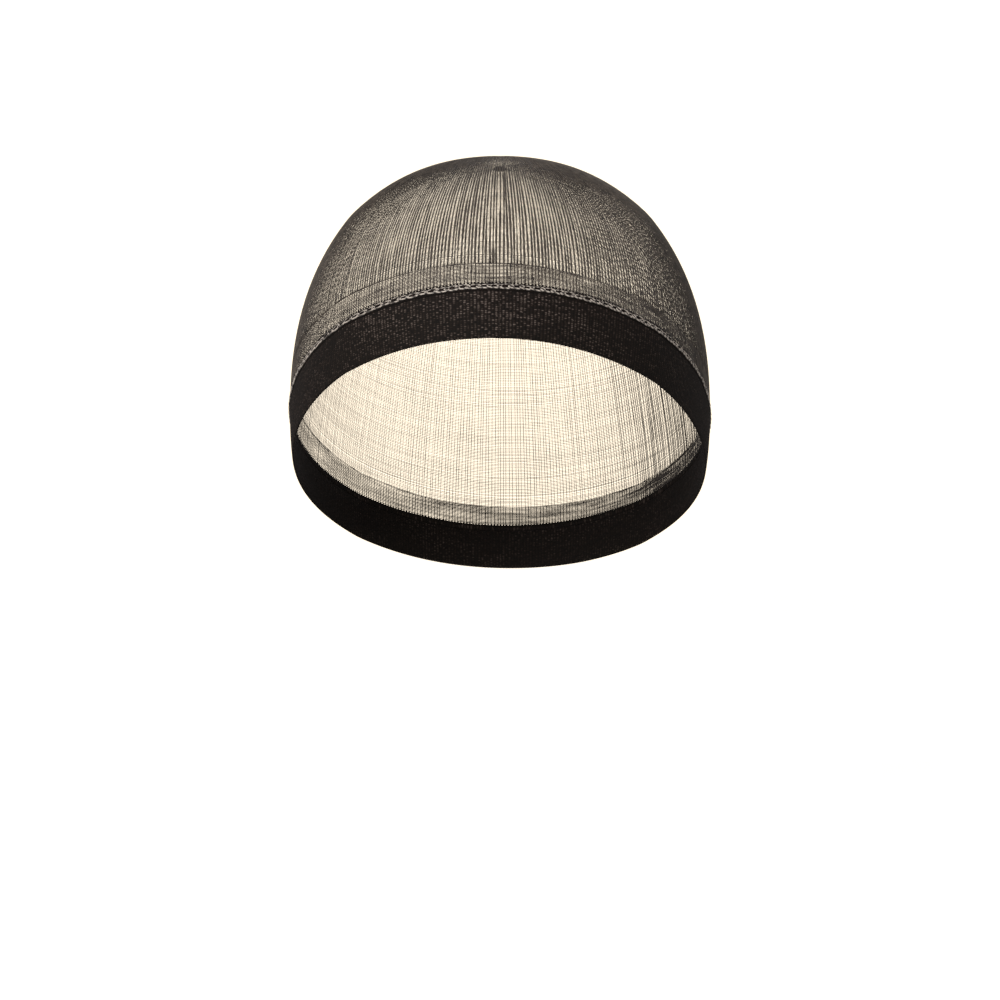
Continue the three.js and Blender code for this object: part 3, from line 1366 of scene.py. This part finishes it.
@dataclass
class WeltBand:
    """Doubled welt round the rim, with a fine rib for each wale and a round fold at the bottom."""

    cloth_map: ClothMap
    cloth: Cloth
    knit: WeltKnit
    inside: float = 0.05
    wall: float = 0.85
    rib_depth: float = 0.12
    columns_per_wale: int = 4
    outer_rows: int = 12
    end_rows: int = 4
    inner_rows: int = 3
    course_pitch: float = 0.66
    slack: float = 0.12
    slack_blur: float = 60.0
    scallop: float = 0.35
    scallop_rise: float = 0.25
    wales_per_stitch: int = WALES_PER_STITCH
    # Painted sheen on the stitches: where it peaks, how wide it spreads, how strong it is, how it fades near
    # the fold.
    sheen_middle: float = math.radians(6.0)
    sheen_spread: float = math.radians(31.0)
    most_sheen: float = 0.99
    fold_sheen_loss: float = 0.6
    fold_reach: float = 3.0

    def build(self) -> bpy.types.Object:
        """Makes the band, and works out the cloth's girth round the middle of it.

        Returns:
            The band.
        """
        dress = self.knit.material()
        piece = finished(self.surface(), "welt_band_cloth", dress, Node.WELT_BAND)
        width = self.cloth.band_mean
        girth = float(self.cloth_map.girths(np.array([width / 2]))[0])
        return piece

    def painted_sheen(self, azimuth: np.ndarray, distance: np.ndarray) -> np.ndarray:
        """Painted sheen on the stitches: a bell curve of the azimuth, less near the fold at the rim.

        Args:
            azimuth: azimuth of each point. The curve's middle is a little to -X.
            distance: distance up from the rim.

        Returns:
            Shares from 0 to just under 1.
        """
        from_middle = np.mod(azimuth + self.sheen_middle + math.pi, TURN) - math.pi
        sheen_share = self.most_sheen * np.exp(-((from_middle / self.sheen_spread) ** 2))
        return sheen_share * (1.0 - self.fold_sheen_loss * np.exp(-distance / self.fold_reach))

    def surface(self) -> Surface:
        """Section with round ends, carried round the head.

        The outside is lifted by a cosine of the wale number, and the top edge dips at each stitch of
        the seam, as the root of the absolute value of a cosine.

        Returns:
            The band, which carries the knit attribute that its finish reads.
        """
        count = self.cloth_map.wale_count * self.columns_per_wale
        wale = np.arange(count)[:, None] / self.columns_per_wale
        azimuth = self.cloth_map.azimuth_of(wale)
        rng = np.random.default_rng(SEED + 3)
        radius = self.wall / 2
        dip = self.scallop * np.abs(np.cos(math.pi * wale / self.wales_per_stitch)) ** 0.5
        low = radius + self.slack * smooth_noise(rng, (count, 1), (self.slack_blur, 0.0))
        high = self.cloth.band_top(azimuth) + self.scallop_rise - dip - radius
        ends = math.pi * np.arange(self.end_rows)[None, :] / self.end_rows
        inner = np.arange(self.inner_rows)[None, :] / self.inner_rows
        outer = np.arange(self.outer_rows)[None, :] / self.outer_rows
        distance = np.concatenate(
            [
                low + (high - low) * inner,
                high + radius * np.sin(ends),
                high + (low - high) * outer,
                low - radius * np.sin(ends),
            ],
            axis=1,
        )
        off = np.concatenate(
            [
                np.zeros_like(inner),
                radius - radius * np.cos(ends),
                np.full_like(outer, self.wall),
                radius + radius * np.cos(ends),
            ],
            axis=1,
        )
        outside = np.clip(2.0 * off / self.wall - 1.0, 0.0, 1.0)
        lift = off + self.inside + self.rib_depth * outside * 0.5 * (np.cos(TURN * wale) - 1.0)
        points, _ = self.cloth_map.place(azimuth, distance, lift)
        surface = swept_loop(points)
        courses = distance / self.course_pitch
        # Third number of the knit attribute: the painted sheen on the stitches.
        knit = np.stack(np.broadcast_arrays(wale + 0.5, courses, self.painted_sheen(azimuth, distance)), axis=-1)
        surface.attributes["knit"] = knit.reshape(-1, 3)
        return surface


# ---------------------------------------------------------------- studio


@dataclass(frozen=True)
class SoftBox:
    """Square studio light that faces the cap: its place and side in metres, and its power in watts."""

    name: str
    place: tuple[float, float, float]
    side: float
    power: float


@dataclass
class Studio:
    """Camera, lights, a plain pale floor and a world of the same paleness.

    Greys and glows are linear light levels, not colours, and may pass 1.
    """

    focal_mm: float = 110.0
    sensor_mm: float = 36.0
    distance: float = 1130.0
    elevation: float = math.radians(2.0)
    aim_below_top: float = 126.5
    floor_below_top: float = 262.0
    floor_columns: int = 96
    # Radii in metres: the floor's rings, and where it starts and ends turning into the world's paleness.
    floor_rings: tuple[float, ...] = (0.15, 0.4, 0.8, 1.4, 2.4, 4.0, 8.0, 20.0)
    floor_fade: tuple[float, float] = (0.6, 3.0)
    floor_grey: tuple[float, float, float] = (0.4, 0.4, 0.4)
    floor_glow: tuple[float, float, float] = (0.84, 0.82, 0.79)
    paper: tuple[float, float, float] = (1.49, 1.3, 1.03)
    surround: tuple[float, float, float] = (0.42, 0.41, 0.40)
    lit_below_top: float = 80.0
    soft_boxes: tuple[SoftBox, ...] = (
        SoftBox("key", (-0.9, -1.35, 0.7), 0.9, 31.0),
        SoftBox("fill", (1.3, -0.9, 0.3), 0.9, 2.5),
    )

    def build(self) -> None:
        """Makes the camera first, then the floor, the world and the lights."""
        self.camera()
        self.floor()
        self.world()
        for box in self.soft_boxes:
            self.light(box)

    def camera(self) -> None:
        """A long lens before the forehead, a little above the level of the rim."""
        top = CAD_BOX[1].z / MM
        aim = Vector((0.0, 0.0, top - self.aim_below_top)) * MM
        back = Vector((0.0, -math.cos(self.elevation), math.sin(self.elevation)))
        data = bpy.data.cameras.new("camera")
        data.lens = self.focal_mm
        data.sensor_width = self.sensor_mm
        camera = bpy.data.objects.new("camera", data)
        camera.location = aim + back * self.distance * MM
        camera.rotation_mode = "QUATERNION"
        camera.rotation_quaternion = (-back).to_track_quat("-Z", "Y")
        bpy.context.scene.collection.objects.link(camera)
        bpy.context.scene.camera = camera

    def floor(self) -> bpy.types.Object:
        """A wide level disc of rings about the middle.

        Returns:
            The floor, which throws no light back at the cap.
        """
        columns, rings = self.floor_columns, np.array(self.floor_rings)
        turn = TURN * np.arange(columns)[:, None] / columns
        height = np.full((columns, len(rings)), CAD_BOX[1].z - self.floor_below_top * MM)
        points = np.stack([rings * np.cos(turn), rings * np.sin(turn), height], axis=-1) / MM
        index = np.arange(columns * len(rings)).reshape(columns, -1)
        floor = Surface(points.reshape(-1, 3), [ring_quads(index), index[None, :, 0]]).to_object("floor")
        floor.data.materials.append(self.paper_sweep())
        floor.visible_diffuse = False
        floor.visible_glossy = False
        return floor

    def paper_sweep(self) -> bpy.types.Material:
        """Matt white paper, which takes a soft shadow and turns into the world's paleness far away.

        Returns:
            The material.
        """
        material, tree = new_material("matt_paper_sweep")
        add = partial(add_node, tree)
        place = add("ShaderNodeTexCoord")
        away = add("ShaderNodeVectorMath", links={0: place.outputs["Object"]}, operation="LENGTH")
        fade = add(
            "ShaderNodeMapRange",
            {"From Min": self.floor_fade[0], "From Max": self.floor_fade[1]},
            {"Value": away.outputs["Value"]},
            interpolation_type="SMOOTHSTEP",
        )
        paper = add("ShaderNodeBsdfDiffuse", {"Color": (*self.floor_grey, 1.0)})
        lamp = add("ShaderNodeEmission", {"Color": (*self.floor_glow, 1.0), "Strength": 1.0})
        near = add("ShaderNodeAddShader", links={0: paper.outputs["BSDF"], 1: lamp.outputs["Emission"]})
        glow = add("ShaderNodeEmission", {"Color": (*self.paper, 1.0), "Strength": 1.0})
        mix = add(
            "ShaderNodeMixShader",
            links={0: fade.outputs["Result"], 1: near.outputs["Shader"], 2: glow.outputs["Emission"]},
        )
        add("ShaderNodeOutputMaterial", links={"Surface": mix.outputs["Shader"]})
        return material

    def world(self) -> None:
        """Even pale light from all round, and the paper's paleness where the camera sees past the floor."""
        world = bpy.data.worlds.new("studio")
        world.use_nodes = True
        tree = world.node_tree
        tree.nodes.clear()
        add = partial(add_node, tree)
        seen = add("ShaderNodeBackground", {"Color": (*self.paper, 1.0), "Strength": 1.0})
        lit = add("ShaderNodeBackground", {"Color": (*self.surround, 1.0), "Strength": 1.0})
        ray = add("ShaderNodeLightPath")
        sky = add(
            "ShaderNodeMixShader",
            links={
                0: ray.outputs["Is Camera Ray"],
                1: lit.outputs["Background"],
                2: seen.outputs["Background"],
            },
        )
        add("ShaderNodeOutputWorld", links={"Surface": sky.outputs["Shader"]})
        bpy.context.scene.world = world
        bpy.context.scene.view_settings.view_transform = "Standard"

    def light(self, box: SoftBox) -> None:
        """Hangs a soft box and turns it to the middle of the head.

        Args:
            box: the light's name, place, side and power.
        """
        data = bpy.data.lights.new(box.name, "AREA")
        data.size = box.side
        data.energy = box.power
        light = bpy.data.objects.new(box.name, data)
        light.location = Vector(box.place)
        head = Vector((0.0, 0.0, CAD_BOX[1].z - self.lit_below_top * MM))
        light.rotation_mode = "QUATERNION"
        light.rotation_quaternion = (head - light.location).to_track_quat("-Z", "Y")
        light.visible_camera = False
        bpy.context.scene.collection.objects.link(light)


def main() -> None:
    """Builds the studio and then the cap, from the crown down to the rim."""
    logging.basicConfig(level=logging.INFO, format="%(message)s")
    Studio().build()
    cloth = Cloth()
    cloth_map = ClothMap(HeadForm(), Rim(), cloth.wale_count, wale_level=cloth.shadow_mean)
    crown = Crown(cloth_map, cloth, NylonYarn())
    pieces = crown.build()
    pieces.append(ShadowWelt(cloth_map, cloth, NylonYarn(name="heavier_nylon_yarn")).build())
    crown.flat_size()
    crown.flat_area()
    pieces += LinkingSeam(cloth_map, cloth, SeamThread(), WeltKnit(name="pressed_raw_edges")).build()
    pieces.append(WeltBand(cloth_map, cloth, WeltKnit()).build())
    for piece in pieces:
        LOG.info("%s: %d faces", piece.name, len(piece.data.polygons))
    LOG.info("girth at the shadow welt: %.1f mm", cloth_map.girth)


if __name__ == "__main__":
    main()
